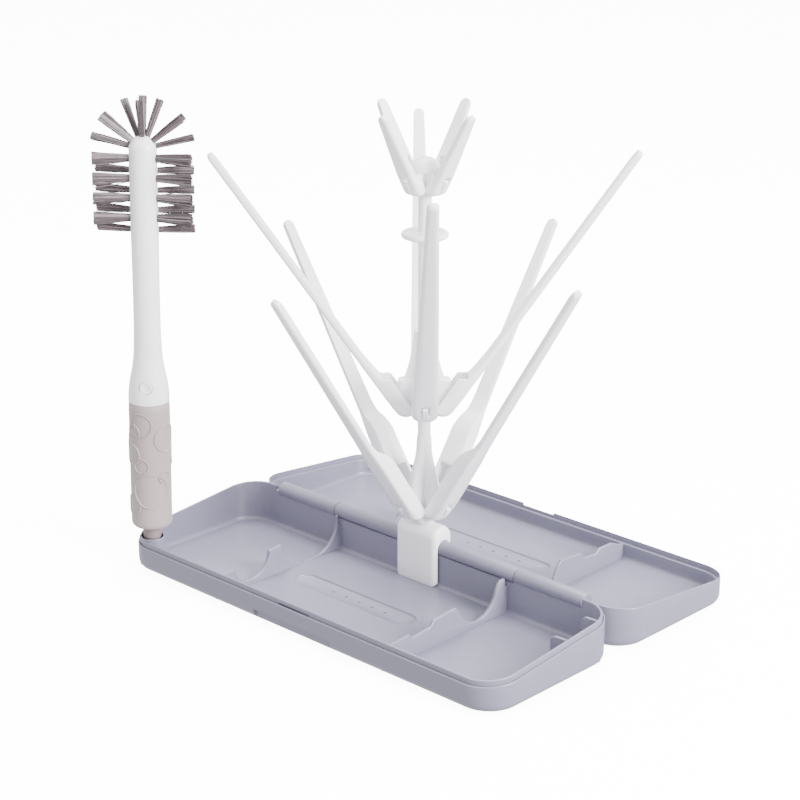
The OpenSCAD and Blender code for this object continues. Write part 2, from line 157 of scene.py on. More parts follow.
def lathe(profile, centre=(0, 0), n=64, closed=False):
    """Skin of a profile of (radius, z) turned about a vertical axis."""
    rings = [[(centre[0] + r * math.cos(2 * math.pi * k / n),
               centre[1] + r * math.sin(2 * math.pi * k / n), z) for k in range(n)]
             for r, z in profile]
    if closed:
        return loft(rings + rings[:1], False, False)
    return loft(rings)


def joined(*parts):
    """Several (verts, faces) skins as one."""
    verts, faces = [], []
    for v, f in parts:
        start = len(verts)
        verts += v
        faces += [tuple(i + start for i in face) for face in f]
    return verts, faces


def moved(part, matrix):
    return [tuple(matrix @ Vector(v)) for v in part[0]], part[1]


def along_x(part, x, y, z):
    """Turns a skin made about +Z so that it lies along +X from (x, y, z)."""
    return moved(part, Matrix.Translation((x, y, z)) @ Matrix.Rotation(math.pi / 2, 4, "Y"))


def mesh_object(name, part):
    mesh = bpy.data.meshes.new(name)
    mesh.from_pydata([(x * MM, (y + HINGE_Y) * MM, z * MM) for x, y, z in part[0]], [], part[1])
    bm = bmesh.new()
    bm.from_mesh(mesh)
    bmesh.ops.remove_doubles(bm, verts=bm.verts, dist=1e-6)
    bmesh.ops.dissolve_degenerate(bm, edges=bm.edges, dist=1e-6)
    bmesh.ops.recalc_face_normals(bm, faces=bm.faces)
    bm.to_mesh(mesh)
    bm.free()
    obj = bpy.data.objects.new(name, mesh)
    bpy.context.scene.collection.objects.link(obj)
    return obj


def apply_modifiers(obj):
    graph = bpy.context.evaluated_depsgraph_get()
    mesh = bpy.data.meshes.new_from_object(obj.evaluated_get(graph))
    obj.modifiers.clear()
    old, obj.data = obj.data, mesh
    bpy.data.meshes.remove(old)


def cut(obj, *parts, operation="DIFFERENCE"):
    """Boolean with closed skins, applied."""
    cutters = [mesh_object("cutter", part) for part in parts]
    for cutter in cutters:
        mod = obj.modifiers.new("cut", "BOOLEAN")
        mod.operation, mod.object, mod.solver = operation, cutter, "EXACT"
    apply_modifiers(obj)
    for cutter in cutters:
        bpy.data.objects.remove(cutter)


def rounded(obj, width, segments=2, angle=40):
    """Rounds the sharp edges by a width in millimetres."""
    mod = obj.modifiers.new("edges", "BEVEL")
    mod.width, mod.segments, mod.limit_method = width * MM, segments, "ANGLE"
    mod.angle_limit = math.radians(angle)
    mod.miter_outer = "MITER_ARC"
    apply_modifiers(obj)


def smooth(obj, angle=38):
    """Smooth shading that stops at edges sharper than the angle."""
    bm = bmesh.new()
    bm.from_mesh(obj.data)
    limit = math.radians(angle)
    for face in bm.faces:
        face.smooth = True
    for edge in bm.edges:
        edge.smooth = len(edge.link_faces) == 2 and edge.calc_face_angle(0) < limit
    bm.to_mesh(obj.data)
    bm.free()


def finished(obj, material, body, nodes, angle=38):
    smooth(obj, angle)
    obj.data.materials.clear()
    obj.data.materials.append(material)
    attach(obj, body)
    if nodes:
        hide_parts(*nodes)
    return obj


def box_part(x0, x1, y0, y1, z0, z1):
    return loft([[(x0, y0, z), (x1, y0, z), (x1, y1, z), (x0, y1, z)] for z in (z0, z1)])


# ---- materials -----------------------------------------------------------------------

def node_material(name, color, tint, rough, grain, grain_depth, waviness=0.0, mottle=60.0,
                  coat=0.0, subsurface=0.0, sheen=0.0):
    """Moulded plastic: tone that drifts slowly, fine grain, and gloss that varies."""
    mat = bpy.data.materials.new(name)
    mat.use_nodes = True
    nodes, links = mat.node_tree.nodes, mat.node_tree.links
    shader = nodes["Principled BSDF"]
    coord = nodes.new("ShaderNodeTexCoord")

    drift = nodes.new("ShaderNodeTexNoise")
    drift.inputs["Scale"].default_value = mottle
    drift.inputs["Detail"].default_value = 5
    ramp = nodes.new("ShaderNodeValToRGB")
    ramp.color_ramp.elements[0].position, ramp.color_ramp.elements[1].position = 0.3, 0.7
    ramp.color_ramp.elements[0].color = (*[c * t for c, t in zip(color, tint)], 1)
    ramp.color_ramp.elements[1].color = (*color, 1)
    links.new(coord.outputs["Object"], drift.inputs["Vector"])
    links.new(drift.outputs["Fac"], ramp.inputs["Fac"])
    links.new(ramp.outputs["Color"], shader.inputs["Base Color"])

    gloss = nodes.new("ShaderNodeTexNoise")
    gloss.inputs["Scale"].default_value = mottle * 2.3
    gloss.inputs["Detail"].default_value = 6
    span = nodes.new("ShaderNodeMapRange")
    span.inputs["From Min"].default_value, span.inputs["From Max"].default_value = 0.3, 0.7
    span.inputs["To Min"].default_value, span.inputs["To Max"].default_value = rough
    links.new(coord.outputs["Object"], gloss.inputs["Vector"])
    links.new(gloss.outputs["Fac"], span.inputs["Value"])
    links.new(span.outputs["Result"], shader.inputs["Roughness"])

    fine = nodes.new("ShaderNodeTexNoise")
    fine.inputs["Scale"].default_value = grain
    fine.inputs["Detail"].default_value = 3
    bump = nodes.new("ShaderNodeBump")
    bump.inputs["Strength"].default_value = 0.35
    bump.inputs["Distance"].default_value = grain_depth
    links.new(coord.outputs["Object"], fine.inputs["Vector"])
    links.new(fine.outputs["Fac"], bump.inputs["Height"])
    links.new(bump.outputs["Normal"], shader.inputs["Normal"])
    if waviness:
        slow = nodes.new("ShaderNodeTexNoise")
        slow.inputs["Scale"].default_value = 45
        sink = nodes.new("ShaderNodeBump")
        sink.inputs["Strength"].default_value = 0.3
        sink.inputs["Distance"].default_value = waviness
        links.new(coord.outputs["Object"], slow.inputs["Vector"])
        links.new(slow.outputs["Fac"], sink.inputs["Height"])
        links.new(sink.outputs["Normal"], bump.inputs["Normal"])
    shader.inputs["Coat Weight"].default_value = coat
    shader.inputs["Coat Roughness"].default_value = 0.18
    shader.inputs["Subsurface Weight"].default_value = subsurface
    shader.inputs["Subsurface Scale"].default_value = 0.002
    shader.inputs["Sheen Weight"].default_value = sheen
    return mat


def bristle_material():
    """Nylon filaments: each one its own shade, paler towards some."""
    mat = bpy.data.materials.new("bristle_nylon")
    mat.use_nodes = True
    nodes, links = mat.node_tree.nodes, mat.node_tree.links
    shader = nodes["Principled BSDF"]
    island = nodes.new("ShaderNodeNewGeometry")
    ramp = nodes.new("ShaderNodeValToRGB")
    ramp.color_ramp.elements[0].color = (0.04, 0.03, 0.034, 1)
    ramp.color_ramp.elements[1].color = (0.27, 0.215, 0.232, 1)
    middle = ramp.color_ramp.elements.new(0.55)
    middle.color = (0.10, 0.08, 0.088, 1)
    links.new(island.outputs["Random Per Island"], ramp.inputs["Fac"])
    links.new(ramp.outputs["Color"], shader.inputs["Base Color"])
    coord = nodes.new("ShaderNodeTexCoord")
    noise = nodes.new("ShaderNodeTexNoise")
    noise.inputs["Scale"].default_value = 300
    span = nodes.new("ShaderNodeMapRange")
    span.inputs["To Min"].default_value, span.inputs["To Max"].default_value = 0.3, 0.55
    links.new(coord.outputs["Object"], noise.inputs["Vector"])
    links.new(noise.outputs["Fac"], span.inputs["Value"])
    links.new(span.outputs["Result"], shader.inputs["Roughness"])
    return mat


CASE = node_material("case_lavender_plastic", (0.172, 0.166, 0.226), (0.97, 0.97, 0.98),
                     (0.3, 0.4), 2600, 0.00006, waviness=0.0002, coat=0.12)
WHITE = node_material("rack_white_plastic", (0.87, 0.86, 0.885), (0.985, 0.985, 0.99),
                      (0.28, 0.38), 2400, 0.00004, waviness=0.00015, coat=0.15, subsurface=0.06)
BRUSH = node_material("brush_white_plastic", (0.88, 0.87, 0.90), (0.985, 0.985, 0.99),
                      (0.25, 0.34), 2400, 0.00004, coat=0.2, subsurface=0.06)
GRIP = node_material("grip_silicone", (0.33, 0.27, 0.27), (0.96, 0.96, 0.96),
                     (0.52, 0.64), 3200, 0.00009, sheen=0.15)
STUB = node_material("stub_brown_plastic", (0.22, 0.17, 0.175), (0.9, 0.9, 0.9),
                     (0.45, 0.6), 2600, 0.00008)
STEEL = node_material("pin_steel", (0.5, 0.5, 0.52), (0.9, 0.9, 0.9), (0.25, 0.4), 3500, 0.00003)
STEEL.node_tree.nodes["Principled BSDF"].inputs["Metallic"].default_value = 1.0
BRISTLE = bristle_material()


# ---- case ----------------------------------------------------------------------------

def rim_z(y):
    return RIM_HINGE - (RIM_HINGE - RIM_FAR) * y / (GAP + TRAY_W)


def plan_stations():
    """Plan of a tray as (corner-centre point, outward direction, tongue share)."""
    x1, y0, y1 = CASE_LEN / 2 - CORNER_R, GAP + CORNER_R, GAP + TRAY_W - CORNER_R
    stations = []

    def side(xa, ya, xb, yb, nx, ny, marks):
        for t, share in marks:
            stations.append((xa + (xb - xa) * t, ya + (yb - ya) * t, nx, ny, share))

    def corner(cx, cy, a0):
        for i in range(15):
            a = math.radians(a0 + 90 * i / 14)
            stations.append((cx, cy, math.cos(a), math.sin(a), 1))

    edge = KNUCKLE[3]
    marks = [((x + x1) / (2 * x1), share) for x, share in
             [(-edge - 0.4, 1), (-edge, 0)] + [(x, 0) for x in range(-100, 101, 20)]
             + [(edge, 0), (edge + 0.4, 1)]]
    side(-x1, y0, x1, y0, 0, -1, marks)
    corner(x1, y0, -90)
    side(x1, y0, x1, y1, 1, 0, [(t / 6, 1) for t in range(1, 6)])
    corner(x1, y1, 0)
    side(x1, y1, -x1, y1, 0, 1, [(t / 14, 1) for t in range(1, 14)])
    corner(-x1, y1, 90)
    side(-x1, y1, -x1, y0, -1, 0, [(t / 6, 1) for t in range(1, 6)])
    corner(-x1, y0, 180)
    return stations


def tray_rings(is_base):
    """Rings of a tray's skin, from under its floor over the rim and down to the floor."""
    stations = plan_stations()

    def ring(inset, height):
        reach = max(CORNER_R - inset, 0)
        points = []
        for cx, cy, nx, ny, share in stations:
            y = cy + reach * ny
            points.append((cx + reach * nx, y, height(y, share)))
        return points

    rings = [ring(16, lambda y, share: 0)]
    for a in range(0, 91, 15):
        c, s = math.cos(math.radians(a)), math.sin(math.radians(a))
        rings.append(ring(FOOT_R * (1 - s), lambda y, share, c=c: FOOT_R * (1 - c)))
    rings.append(ring(0, lambda y, share: 0.5 * (FOOT_R + rim_z(y))))
    soft = 0.55
    for a in (0, 30, 60, 90):
        c, s = math.cos(math.radians(a)), math.sin(math.radians(a))
        rings.append(ring(soft * (1 - c), lambda y, share, s=s: rim_z(y) - soft * (1 - s)))
    if is_base:
        crest = 0.4
        ditch = 1.3
        rings.append(ring(LIP - 0.5, lambda y, share: rim_z(y)))
        rings.append(ring(LIP - 0.46, lambda y, share: rim_z(y) - ditch * share))
        rings.append(ring(LIP, lambda y, share: rim_z(y) - ditch * share))
        for a in (0, 30, 60, 90):
            c, s = math.cos(math.radians(a)), math.sin(math.radians(a))
            rings.append(ring(LIP + crest * (1 - c), lambda y, share, s=s:
                              rim_z(y) + share * (TONGUE_H - crest * (1 - s))))
        for a in (90, 60, 30, 0):
            c, s = math.cos(math.radians(a)), math.sin(math.radians(a))
            rings.append(ring(WALL - crest * (1 - c), lambda y, share, s=s:
                              rim_z(y) + share * TONGUE_H - crest * (1 - s)))
    else:
        step = TONGUE_H + 0.4
        edge = LIP - 0.48
        rings.append(ring(edge - 0.03, lambda y, share: rim_z(y)))
        rings.append(ring(edge, lambda y, share: rim_z(y) - 0.1 * share))
        rings.append(ring(edge + 0.02, lambda y, share: rim_z(y) - step * share))
        for a in (90, 60, 30, 0):
            c, s = math.cos(math.radians(a)), math.sin(math.radians(a))
            rings.append(ring(WALL - 0.35 * (1 - c), lambda y, share, s=s:
                              rim_z(y) - step * share - 0.35 * (1 - s)))
    fillet = 2.2
    rings.append(ring(WALL, lambda y, share: FLOOR_T + fillet + 3))
    for a in range(0, 91, 15):
        c, s = math.cos(math.radians(a)), math.sin(math.radians(a))
        rings.append(ring(WALL + fillet * (1 - c), lambda y, share, s=s:
                          FLOOR_T + fillet * (1 - s)))
    rings.append(ring(16, lambda y, share: FLOOR_T))
    return rings


def floor_recess(cx, cy):
    """Cutters for the shallow oval recess in a floor, its deeper end and five dimples."""
    rings = []
    for grow, z in ((-0.4, FLOOR_T - 0.85), (0, FLOOR_T - 0.7), (0.4, FLOOR_T - 0.1), (0.7, 3)):
        line = arc(cx + 30, cy, 6.2 + grow, -90, 90, 20) + arc(cx - 36, cy, 6.2 + grow, 90, 270, 20)
        rings.append([(x, y, z) for x, y in line])
    scoop = lathe([(0.4, -1.1), (2.2, -0.95), (3.8, -0.6), (4.9, 0), (5.2, 1)], n=48)
    dimples = [lathe([(0.2, FLOOR_T - 1.5), (0.85, FLOOR_T - 1.3), (1.1, FLOOR_T + 1)],
                     centre=(cx + 8.8 * i, cy), n=20) for i in range(-2, 3)]
    deep_end = Matrix.Translation((cx + 31.5, cy, FLOOR_T - 0.35))
    return [loft(rings), moved(scoop, deep_end)] + dimples


def mirrored(part):
    return [(x, -y, z) for x, y, z in part[0]], part[1]


def knuckle(x0, x1):
    """Part of the hinge barrel with softened ends."""
    soft = 0.5
    length = x1 - x0
    profile = [(0.5, 0), (BARREL_R - soft, 0)] + arc(BARREL_R - soft, soft, soft, -60, 0, 3) \
        + arc(BARREL_R - soft, length - soft, soft, 0, 60, 3) \
        + [(BARREL_R - soft, length), (0.5, length)]
    return along_x(lathe(profile, n=40), x0, 0, RIM_HINGE)


def barrel_room(x0, length):
    """Cutter for the room that the other tray's knuckle needs."""
    r = BARREL_R + BARREL_GAP
    return along_x(lathe([(r, 0), (r, length)], n=48), x0, 0, RIM_HINGE)


base_tray = mesh_object("base_tray_shell", mirrored(loft(tray_rings(True))))
front = -GAP - TRAY_W
recess = [[(x0, y, -1), (x1, y, -1), (x1, y, top), (x0, y, top)] for y, x0, x1, top in
          ((front - 1, -28.9, 24.7, 5.5), (front, -28.6, 24.4, 5.4), (front + 1.8, -28, 23.8, 5.2))]
cut(base_tray, loft(recess),
    box_part(-11, 9.5, front + 0.5, front + 1.8, RIM_FAR - 1, RIM_FAR + 0.9),
    lathe([(SOCKET_R, 3.5), (SOCKET_R, 40)], centre=SOCKET, n=72),
    *[mirrored(part) for part in floor_recess(-3.4, 43)])
cut(base_tray, barrel_room(KNUCKLE[1] - KNUCKLE_GAP, KNUCKLE[2] - KNUCKLE[1] + 2 * KNUCKLE_GAP))
finished(base_tray, CASE, "base", ["base_tray"])

base_knuckles = mesh_object("base_knuckles", joined(
    knuckle(KNUCKLE[0], KNUCKLE[1] - KNUCKLE_GAP), knuckle(KNUCKLE[2] + KNUCKLE_GAP, KNUCKLE[3])))
finished(base_knuckles, CASE, "base", [])

lid_tray = mesh_object("lid_tray_shell", loft(tray_rings(False)))
cut(lid_tray,
    box_part(-11, 10, GAP + TRAY_W - LIP, GAP + TRAY_W + 1, RIM_FAR - 1.4, RIM_FAR + 2),
    *floor_recess(2.8, 49.5))
for start, end in ((KNUCKLE[0] - 0.3, KNUCKLE[1]), (KNUCKLE[2], KNUCKLE[3] + 0.3)):
    cut(lid_tray, barrel_room(start, end - start))
finished(lid_tray, CASE, "lid", ["lid_tray"])
lid_knuckle = mesh_object("lid_knuckle", knuckle(KNUCKLE[1], KNUCKLE[2]))
finished(lid_knuckle, CASE, "lid", [])


def rib(name, x, side, profile, body, node, thickness=RIB_T):
    """A moulded cross rib at x: its side profile is in (distance from the hinge, z)."""
    rings = [[(x + dx, side * y, z) for y, z in profile] for dx in (-thickness / 2, thickness / 2)]
    obj = mesh_object(name, loft(rings))
    rounded(obj, 0.45, 3, 55)
    return finished(obj, CASE, body, [node])


IN = GAP + 1.2
FAR = GAP + TRAY_W - 1.2
rib("base_rib_left", -CRADLE_X, -1, [(IN, 1), (IN, 16), (4.5, 16), (4.5, 20.6)]
    + arc(21, 18.5, 15.8, 172, 262, 14) + [(31, 2.6), (32, 3)] + arc(32, 14.5, 11.5, 275, 345, 10)
    + [(44.6, 16.7), (51.4, 16.2)] + arc(65.5, 17, 12.6, 185, 268, 12)
    + arc(67.5, 12, 7.6, 275, 340, 8)
    + [(76, 13), (FAR, 12.6), (FAR, 1)], "base", "base_cradle_left")
rib("base_rib_right", CRADLE_X, -1,
    [(IN, 1), (IN, 16), (4.5, 16), (4.5, 20.3), (7.2, 20), (9, 18.6)]
    + arc(24, 18, 13.4, 190, 335, 20)
    + [(39, 16.2), (54.6, 15.4), (57, 12.4), (68.6, 11), (71, 13.4), (FAR, 12.2), (FAR, 1)],
    "base", "base_cradle_right")
rib("lid_rib_left", -CRADLE_X, 1, [(30, 1)] + arc(31, 14, 12, 270, 340, 10)
    + [(43, 15.6), (50, 15)] + arc(63, 15, 12, 180, 262, 12) + [(63, 1)], "lid", "lid_cradle_left")
rib("lid_rib_right", CRADLE_X, 1, [(29, 1), (32, 7), (35.5, 13.5), (38, 16.4), (53.6, 15.2),
                                   (56.6, 11.8), (66, 11), (69.6, 13.2), (79, 13), (85, 10.4),
                                   (FAR, 10), (FAR, 1)], "lid", "lid_cradle_right")

clips = []
for y in (-13, -35):
    top = rim_z(-y)
    outline = [(CASE_LEN / 2 - 1.7, 1), (112, 1)] + arc(115.6, top - 2.4, 3.6, 180, 90, 10) \
        + [(CASE_LEN / 2 - 1.7, top + 1.4)]
    clips.append(loft([[(x, y + dy, z) for x, z in outline] for dy in (-0.8, 0.8)]))
clip_obj = mesh_object("handle_clip_ribs", joined(*clips))
rounded(clip_obj, 0.4, 3, 55)
finished(clip_obj, CASE, "base", ["handle_clips"])

cup_r = SOCKET_R + 0.95
cup = lathe([(cup_r, 1)] + [(cup_r, 15.3)] + arc(cup_r - 0.4, 15.4, 0.4, 30, 90, 3)
            + arc(SOCKET_R + 0.35, 15.45, 0.35, 90, 180, 4)
            + [(SOCKET_R, 3.5), (0.2, 3.5), (0.2, 1)],
            centre=SOCKET, n=72, closed=True)
finished(mesh_object("socket_cup", cup), CASE, "base", ["brush_socket"])


# ---- rack ----------------------------------------------------------------------------

def lobed_rings(z0, rows, turn, n=96, square=4.0, merge=10.0):
    """Rings of a hub with four lobes: rows of (height, lobe reach, lobe half width, core)."""
    rings = []
    for h, reach, half, core in rows:
        ring = []
        for k in range(n):
            a = 2 * math.pi * k / n
            rel = (a - turn + math.pi / 4) % (math.pi / 2) - math.pi / 4
            lobe = ((math.cos(rel) / reach) ** square
                    + (abs(math.sin(rel)) / half) ** square) ** (-1 / square)
            r = (lobe ** merge + core ** merge) ** (1 / merge)
            ring.append((r * math.cos(a), r * math.sin(a), z0 + h))
        rings.append(ring)
    return rings


def make_hub(name, z0, rows, turn, pivot, out, square, pockets=()):
    """A lobed hub with room for the feet to swing and a pocket behind each window."""
    obj = mesh_object(name, loft(lobed_rings(z0, flowing(rows, 4), turn, square=square)))
    lug_r = out - SKIN - 0.35
    sector = arc(0, 0, out + 0.35, -124, 2, 24) + arc(0, 0, lug_r, 2, -124, 24)
    cutters = []
    for i in range(4):
        place = Matrix.Rotation(turn + math.pi / 2 * i, 4, "Z") @ Matrix.Translation((pivot, 0, z0))
        cutters.append(moved(loft([[(x, y, z) for x, z in sector] for y in (-7, 7)]), place))
        for dz, tall in pockets:
            cutters.append(moved(box_part(lug_r - 4.5, lug_r + 3, -1.9, 1.9, dz, dz + tall), place))
    cut(obj, *cutters)
    return obj


lower_rows = [
    (-9.2, 5, 3.9, 4.4), (-6.6, 7, 3.9, 4.4), (-4, 10.4, 3.9, 4.4), (-3.2, 11.4, 3.9, 4.4),
    (-1.6, 12.6, 3.9, 4.4), (0, 13, 3.9, 4.4), (1.6, 12.8, 3.9, 4.3), (4, 11.9, 3.8, 4.1),
    (6.5, 10.7, 3.5, 3.8), (8.7, 9.7, 3.2, 3.5), (13.4, 8.2, 3, 3.3), (18.6, 6.8, 2.8, 3.25),
    (23, 5.4, 2.6, 3.2), (28, 4.4, 2.5, 3.2), (33, 3.9, 2.6, 3.2), (36, 3.3, 2.4, 3.2),
]
lower_hub = make_hub("lower_hub_trumpet", LOWER_Z, lower_rows, 0, PIVOT_R, ARM_OUT, 2.7,
                     [(3.6, 3)])
finished(lower_hub, WHITE, "rack", ["lower_hub"], 50)

middle_rows = [
    (-4, 8.6, 3.9, 5.2), (-3.2, 11.2, 3.9, 5.2), (-1.6, 12.6, 3.9, 5.2), (0, 13, 3.9, 5.2),
    (2, 13, 3.9, 5.2), (6, 13, 3.9, 5.2), (10, 13, 3.9, 5.2), (12.6, 12.9, 3.9, 5.1),
    (13.4, 12.3, 3.8, 5), (13.7, 10, 3.7, 4.9), (15.5, 9.2, 3.6, 4.7), (20, 7.8, 3.5, 4.2),
    (26, 6.4, 3.4, 4), (31, 5.6, 3.3, 3.9), (37.4, 4.9, 3.1, 3.8), (38, 4.5, 2.9, 3.6),
]
middle_hub = make_hub("middle_hub_trumpet", MIDDLE_Z, middle_rows, math.pi / 4, PIVOT_R, ARM_OUT,
                      4.5, [(5.9, 3)])
finished(middle_hub, WHITE, "rack", ["middle_hub"], 40)

crown_rows = [
    (-2.8, 6.5, 3, 4.6), (-2, 8, 3.2, 4.6), (-1, 9.1, 3.3, 4.6), (0, 9.35, 3.4, 4.6),
    (2, 9.35, 3.4, 4.6), (4.2, 9.3, 3.4, 4.6), (5.6, 8.6, 3.4, 4.8), (7.2, 7, 3.6, 5.8),
]
dome = lathe([(6.6, CROWN_Z + 6.7), (6.6, CROWN_Z + 7.3), (7.3, CROWN_Z + 7.4)]
             + [(7.3 * math.cos(math.radians(a)), CROWN_Z + 7.5 + 6.3 * math.sin(math.radians(a)))
                for a in (10, 20, 30, 40, 50, 60, 70, 80, 87)])
crown_hub = make_hub("crown_hub_lobes", CROWN_Z, crown_rows, 0, CROWN_R, CROWN_OUT, 7,
                     [(4.4, 2.4)])
finished(crown_hub, WHITE, "rack", ["crown_hub"], 40)
finished(mesh_object("crown_dome", dome), WHITE, "rack", [], 50)

mast_profile = [(MAST_R, z) for z in (SADDLE_TOP - 5, *range(40, 211, 10), CROWN_Z + 7.5)]
mast = mesh_object("mast", lathe(mast_profile, n=56))
finished(mast, WHITE, "rack", ["mast_rod"])

collar_low, collar_high = COLLAR_Z - COLLAR_HALF, COLLAR_Z + COLLAR_HALF
collar = lathe([(MAST_R - 0.2, collar_low), (MAST_R + 1.5, collar_low)]
               + arc(COLLAR_R - COLLAR_EDGE, COLLAR_Z, COLLAR_EDGE, -80, 80, 10)
               + [(MAST_R + 1.5, collar_high), (MAST_R - 0.2, collar_high)], n=96, closed=True)
finished(mesh_object("collar_ring", collar), WHITE, "rack", ["collar_disc"])

saddle_side = BARREL_R + BARREL_GAP + 2.2


def saddle_outline(inset):
    """Side outline of the saddle, in y and z."""
    out, top, r = saddle_side - inset, SADDLE_TOP - inset, 6 - inset
    line = arc(out - r, top - r, r, 0, 90, 12) + arc(r - out, top - r, r, 90, 180, 12)
    back = [(-out, z) for z in (19, 10, FLOOR_T + 0.1 + inset)]
    front = [(out, 12 + inset), (out, 16), (out, 20)]
    return line + back + [(0, (12 + FLOOR_T) / 2 + inset)] + front


soft_x = 3.2
saddle_rings = [[(-SADDLE_W / 2 + soft_x * (1 - math.cos(math.radians(a))), y, z)
                 for y, z in saddle_outline(2.4 * (1 - math.sin(math.radians(a))))]
                for a in range(0, 91, 15)]
saddle_rings += [[(-x, y, z) for x, y, z in ring] for ring in saddle_rings[::-1]]
saddle = mesh_object("saddle", loft(saddle_rings))
slot_r = BARREL_R + BARREL_GAP
slot_line = arc(0, RIM_HINGE, slot_r, 0, 180, 24) + [(-slot_r, -1), (slot_r, -1)]
cut(saddle, loft([[(x, y, z) for y, z in slot_line] for x in (-20, 20)]))
rounded(saddle, 0.35, 2, 50)
finished(saddle, WHITE, "rack", ["saddle_clip"])


def arm_part(length, out, top, rows, cheek, back, window, hollow, tip_r=TIP_R):
    """A channel arm upright along +Z: pivot at the origin, outer face at +X.

    rows are (height, half width); cheek is (height, x of the cheeks' inner edge). It is
    a channel up to the height hollow and solid beyond.
    """
    stations = []          # outer point, direction inwards, half width, depth, skin, edge radius
    foot_round = 0.6 * out
    for i in range(17):
        a = math.radians(-115 + 115 * i / 16)
        x, z = out * math.cos(a), out * math.sin(a)
        to_x, to_z = back - x, -z
        depth = math.hypot(to_x, to_z)
        stations.append((x, z, to_x / depth, to_z / depth, rows[0][1], depth, SKIN, foot_round))
    shut = window + WINDOW_H
    heights = sorted({window, shut, *[h for h, _ in rows if h > window], *[h for h, _ in cheek]}
                     | set(range(12, int(length - 8), 5)) | {1.2, 6, hollow - 0.6, hollow})
    for s in heights:
        if window <= s <= length - tip_r:
            x = out + (top - out) * s / length
            depth = x - lerp_rows(cheek, s)
            skin = SKIN if s < hollow else depth - 0.02
            edge = lerp_rows([(0, foot_round), (8, 1.3)], s)
            stations.append((x, s, -1, 0, lerp_rows(rows, s), depth, min(skin, depth - 0.02), edge))
    for i in range(1, 9):
        t = math.pi / 2 * i / 8.4
        s = length - tip_r + tip_r * math.sin(t)
        drop = 1.4 * (1 - math.cos(t))
        x = top - drop
        depth = max(x - lerp_rows(cheek, s), 0.6)
        stations.append((x, s, -1, 0, max(tip_r * math.cos(t), 0.25), depth, depth - 0.02, 1.3))

    rings = []
    for x, z, ix, iz, w, depth, skin, edge in stations:
        rf = min(edge, 0.56 * w, 0.45 * depth)
        crown = 0.35 * min(1, w / 5)
        flat = w - rf
        column = min(2.1, 0.7 * flat)
        outer = [(-w, depth), (-w, 0.5 * (depth + rf + crown))]
        outer += [(-flat - rf * math.cos(a), crown + rf - rf * math.sin(a))
                  for a in (0, 0.26, 0.52, 0.78, 1.05, 1.31)]
        outer += [(-flat, crown * (flat / w) ** 2), (-column, crown * (column / w) ** 2), (0, 0)]
        outer += [(-y, d) for y, d in outer[-2::-1]]
        side = min(SKIN, 0.55 * w)
        wi = w - side
        inner = []
        for y, d in outer:
            yi = max(-wi, min(wi, y))
            di = depth if d >= depth - 1e-6 else max(skin + crown * (y / w) ** 2, min(d, depth))
            inner.append((yi, min(di, depth)))
        loop = outer + inner[::-1]
        rings.append([(x + ix * d, y, z + iz * d) for y, d in loop])
    m = len(outer)
    n = 2 * m
    verts = [p for ring in rings for p in ring]
    faces = []
    first, last = m // 2 - 1, m // 2        # outer segments that the window opens
    for i in range(len(rings) - 1):
        inside = stations[i][1] >= window - 1e-6 and stations[i + 1][1] <= shut + 1e-6 \
            and stations[i][2] == -1
        for j in range(n):
            if inside and (j in (first, last) or n - 2 - j in (first, last)):
                continue
            k = (j + 1) % n
            faces.append((i * n + j, i * n + k, (i + 1) * n + k, (i + 1) * n + j))
        if inside:
            for j in (first, last + 1):
                k = n - 1 - j
                faces.append((i * n + j, i * n + k, (i + 1) * n + k, (i + 1) * n + j))
    ends = [i for i, s in enumerate(stations) if s[2] == -1 and abs(s[1] - window) < 1e-6
            or abs(s[1] - shut) < 1e-6]
    for i in ends:
        for j in (first, last):
            faces.append((i * n + j, i * n + j + 1, i * n + n - 2 - j, i * n + n - 1 - j))
    for i in (0, len(rings) - 1):
        for j in range(m - 1):
            faces.append((i * n + j, i * n + j + 1, i * n + n - 2 - j, i * n + n - 1 - j))
    tab = []
    for up, w, lift in ((-3.2, 1.2, -0.1), (-2.8, 1.3, 0.3), (-1.6, 1.3, 0.42), (0, 1.3, 0.45),
                        (2.5, 1.3, 0.45), (4.4, 1.3, 0.4), (4.8, 1.2, 0.1)):
        s = window + up
        x = out if s >= 0 else math.sqrt(out ** 2 - s ** 2)
        tab.append([(x - 1.3, -w, s), (x + lift, -w, s), (x + lift, w, s), (x - 1.3, w, s)])
    tab = loft(tab)
    return joined((verts, faces), tab)


def add_arm(name, part, turn, pivot, z, lean, body):
    place = Matrix.Rotation(turn, 4, "Z") @ Matrix.Translation((pivot, 0, z)) \
        @ Matrix.Rotation(math.radians(lean), 4, "Y")
    obj = mesh_object(name + "_shell", moved(part, place))
    rounded(obj, 0.22, 2, 50)
    return finished(obj, WHITE, body, [name], 45)


